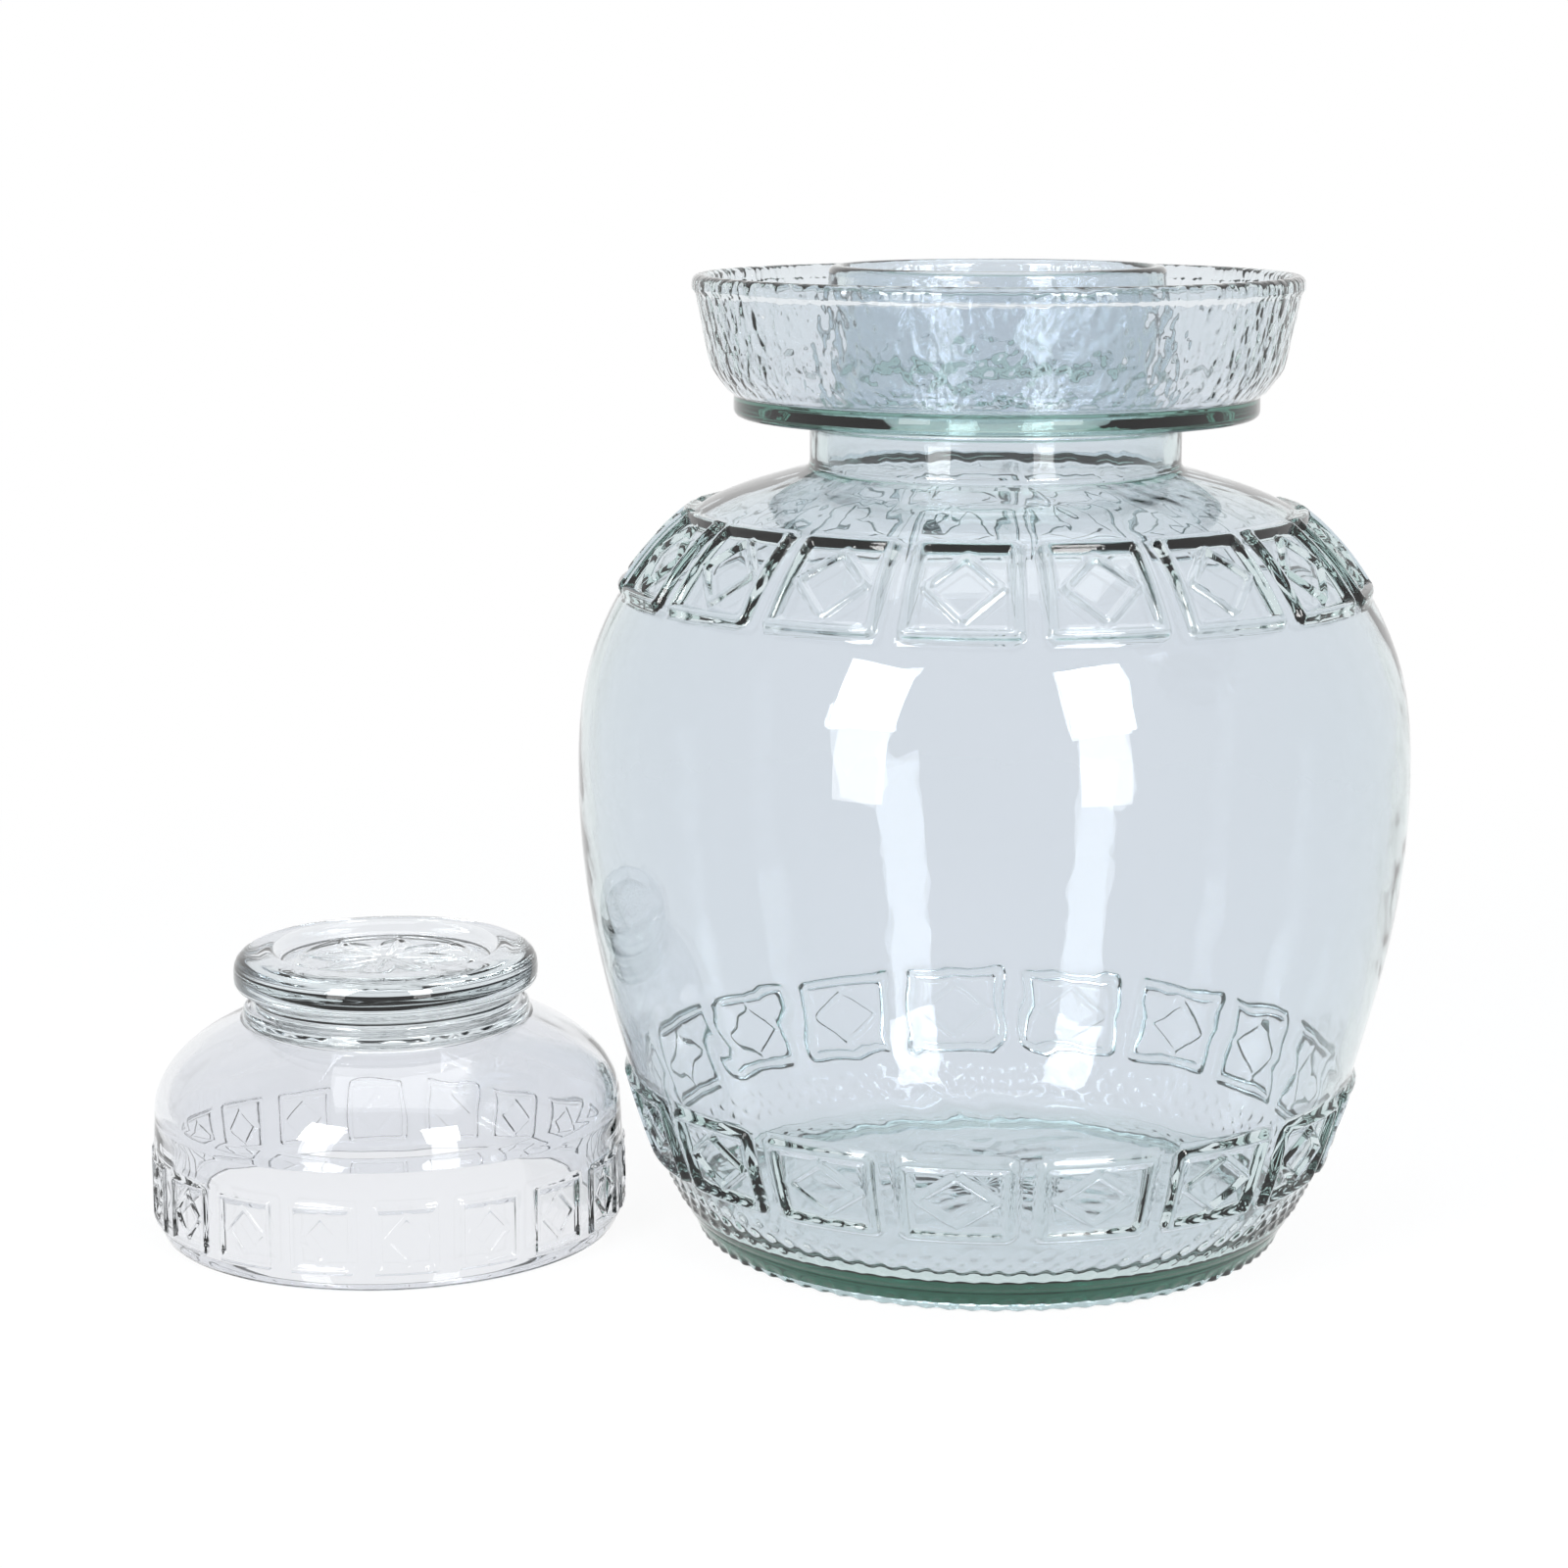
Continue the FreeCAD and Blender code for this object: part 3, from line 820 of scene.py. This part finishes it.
def glass_material(name, colour, tint, density, wave_scale, wave_depth, hammered_from=None):
    """Clear pressed glass: faint ripples, a tint that grows with depth, and a base colour that is
    partly painted shade, a grey-blue for the studio seen through it.
    """
    material, tree, output = node_tree(name)
    glass = tree.nodes.new("ShaderNodeBsdfPrincipled")
    # base colour tints all light through the glass: partly the glass's own tint, partly painted
    # shade of a grey-blue studio
    glass.inputs["Base Color"].default_value = colour + (1.0,)
    glass.inputs["Transmission Weight"].default_value = 1.0
    glass.inputs["Roughness"].default_value = 0.0
    glass.inputs["IOR"].default_value = GLASS_IOR
    place = tree.nodes.new("ShaderNodeTexCoord")
    wave = noise(tree, place, wave_scale, 0.0, (1.0, 1.0, 0.45))
    bump = tree.nodes.new("ShaderNodeBump")
    bump.inputs["Strength"].default_value = WAVE_STRENGTH
    bump.inputs["Distance"].default_value = wave_depth
    absorb = tree.nodes.new("ShaderNodeVolumeAbsorption")
    absorb.inputs["Color"].default_value = tint + (1.0,)
    absorb.inputs["Density"].default_value = density
    tree.links.new(wave.outputs["Fac"], bump.inputs["Height"])
    if hammered_from is None:
        tree.links.new(bump.outputs["Normal"], glass.inputs["Normal"])
    else:
        dents = noise(tree, place, HAMMER_SCALE, 1.0, (1.0, 1.0, 0.7))
        masked = tree.nodes.new("ShaderNodeMath")
        masked.operation = "MULTIPLY"
        hammer = tree.nodes.new("ShaderNodeBump")
        hammer.inputs["Strength"].default_value = HAMMER_STRENGTH
        hammer.inputs["Distance"].default_value = HAMMER_DEPTH
        tree.links.new(dents.outputs["Fac"], masked.inputs[0])
        tree.links.new(hammered_zone(tree, place, hammered_from), masked.inputs[1])
        tree.links.new(masked.outputs["Value"], hammer.inputs["Height"])
        tree.links.new(bump.outputs["Normal"], hammer.inputs["Normal"])
        tree.links.new(hammer.outputs["Normal"], glass.inputs["Normal"])
    tree.links.new(glass.outputs["BSDF"], output.inputs["Surface"])
    tree.links.new(absorb.outputs["Volume"], output.inputs["Volume"])
    return material


def stage_material(name, shade):
    """Pale matt floor that the camera and glass see near white, with shadows left on it."""
    material, tree, output = node_tree(name)
    matt = tree.nodes.new("ShaderNodeBsdfDiffuse")
    matt.inputs["Color"].default_value = shade + (1.0,)
    glow = tree.nodes.new("ShaderNodeEmission")
    glow.inputs["Strength"].default_value = 1.0
    glow.inputs["Color"].default_value = BACKGROUND + (1.0,)
    mixed = tree.nodes.new("ShaderNodeMixShader")
    seen = seen_background(tree)
    place = tree.nodes.new("ShaderNodeTexCoord")
    distance = tree.nodes.new("ShaderNodeVectorMath")
    distance.operation = "LENGTH"
    fade = tree.nodes.new("ShaderNodeMapRange")
    fade.inputs["From Min"].default_value = SHADOW_NEAR
    fade.inputs["From Max"].default_value = SHADOW_FAR
    fade.inputs["To Min"].default_value = 1.0 - SHADOW_SHARE
    fade.inputs["To Max"].default_value = 1.0
    share = tree.nodes.new("ShaderNodeMath")
    share.operation = "MULTIPLY"
    tree.links.new(place.outputs["Object"], distance.inputs[0])
    tree.links.new(distance.outputs["Value"], fade.inputs["Value"])
    tree.links.new(fade.outputs["Result"], share.inputs[1])
    tree.links.new(seen, share.inputs[0])
    tree.links.new(share.outputs["Value"], mixed.inputs["Fac"])
    tree.links.new(matt.outputs["BSDF"], mixed.inputs[1])
    tree.links.new(glow.outputs["Emission"], mixed.inputs[2])
    tree.links.new(mixed.outputs["Shader"], output.inputs["Surface"])
    return material


def seen_background(tree):
    """1 where the camera sees a thing directly, in a reflection or through glass."""
    path = tree.nodes.new("ShaderNodeLightPath")
    glossy = tree.nodes.new("ShaderNodeMath")
    glossy.operation = "MAXIMUM"
    through = tree.nodes.new("ShaderNodeMath")
    through.operation = "MAXIMUM"
    tree.links.new(path.outputs["Is Camera Ray"], glossy.inputs[0])
    tree.links.new(path.outputs["Is Glossy Ray"], glossy.inputs[1])
    tree.links.new(glossy.outputs["Value"], through.inputs[0])
    tree.links.new(path.outputs["Is Transmission Ray"], through.inputs[1])
    return through.outputs["Value"]


# ================= stage, light and camera =================
def make_world():
    """White background for camera, reflections and glass, and pale light on the floor."""
    world = bpy.data.worlds.new("room")
    world.use_nodes = True
    bpy.context.scene.world = world
    tree = world.node_tree
    tree.nodes.clear()
    output = tree.nodes.new("ShaderNodeOutputWorld")
    room = tree.nodes.new("ShaderNodeBackground")
    room.inputs["Color"].default_value = ROOM + (1.0,)
    white = tree.nodes.new("ShaderNodeBackground")
    white.inputs["Color"].default_value = BACKGROUND + (1.0,)
    mixed = tree.nodes.new("ShaderNodeMixShader")
    tree.links.new(seen_background(tree), mixed.inputs["Fac"])
    tree.links.new(room.outputs["Background"], mixed.inputs[1])
    tree.links.new(white.outputs["Background"], mixed.inputs[2])
    tree.links.new(mixed.outputs["Shader"], output.inputs["Surface"])


def make_floor():
    """Large level floor that belongs to the studio."""
    half = FLOOR_HALF
    corners = [(-half, -half, -FLOOR_DROP), (half, -half, -FLOOR_DROP),
               (half, half, -FLOOR_DROP), (-half, half, -FLOOR_DROP)]
    mesh = bpy.data.meshes.new("floor")
    mesh.from_pydata(corners, [], [(0, 1, 2, 3)])
    mesh.materials.append(stage_material("floor_paper", FLOOR_COLOUR))
    floor = bpy.data.objects.new("floor", mesh)
    bpy.context.collection.objects.link(floor)


def softbox(name, place, target, width, height, power):
    """Rectangular lamp facing a point."""
    lamp = bpy.data.lights.new(name, "AREA")
    lamp.shape = "RECTANGLE"
    lamp.size, lamp.size_y = width, height
    lamp.energy = power
    holder = bpy.data.objects.new(name, lamp)
    holder.location = place
    direction = np.subtract(target, place)
    flat = math.hypot(direction[0], direction[1])
    holder.rotation_euler = (math.atan2(flat, -direction[2]), 0.0,
                             math.atan2(-direction[0], direction[1]))
    bpy.context.collection.objects.link(holder)


def make_camera():
    """Camera in front of the jar, a little above its mouth."""
    lens = bpy.data.cameras.new("front_camera")
    lens.sensor_width = CAMERA_SENSOR
    lens.lens = CAMERA_LENS
    camera = bpy.data.objects.new("front_camera", lens)
    camera.location = CAMERA_PLACE
    camera.rotation_euler = (math.radians(90.0 - CAMERA_DOWN), 0.0, math.radians(CAMERA_TURN))
    bpy.context.collection.objects.link(camera)
    bpy.context.scene.camera = camera


def main():
    """Builds the looks, the stage, the light and the camera."""
    jar_glass = glass_material("jar_green_clear_glass", JAR_COLOUR, JAR_TINT, JAR_DENSITY,
                               JAR_WAVE_SCALE, JAR_WAVE_DEPTH,
                               (trough_turn_radius - HAMMER_INSET) * METRES)
    lid_glass = glass_material("lid_clear_glass", LID_COLOUR, LID_TINT, LID_DENSITY,
                               LID_WAVE_SCALE, LID_WAVE_DEPTH)
    jar = make_jar_skin()
    lid = make_lid_skin()
    for piece, node, slot, material in ((jar, "jar", "jar_glass", jar_glass),
                                        (lid, "lid", "lid_glass", lid_glass)):
        piece.data.materials.append(material)
        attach(piece, "root")
        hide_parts(node)
    make_world()
    make_floor()
    for name, place, width, height, power in LAMPS:
        softbox(name, place, LAMP_TARGET, width, height, power)
    make_camera()
    bpy.context.scene.view_settings.view_transform = "Standard"


main()
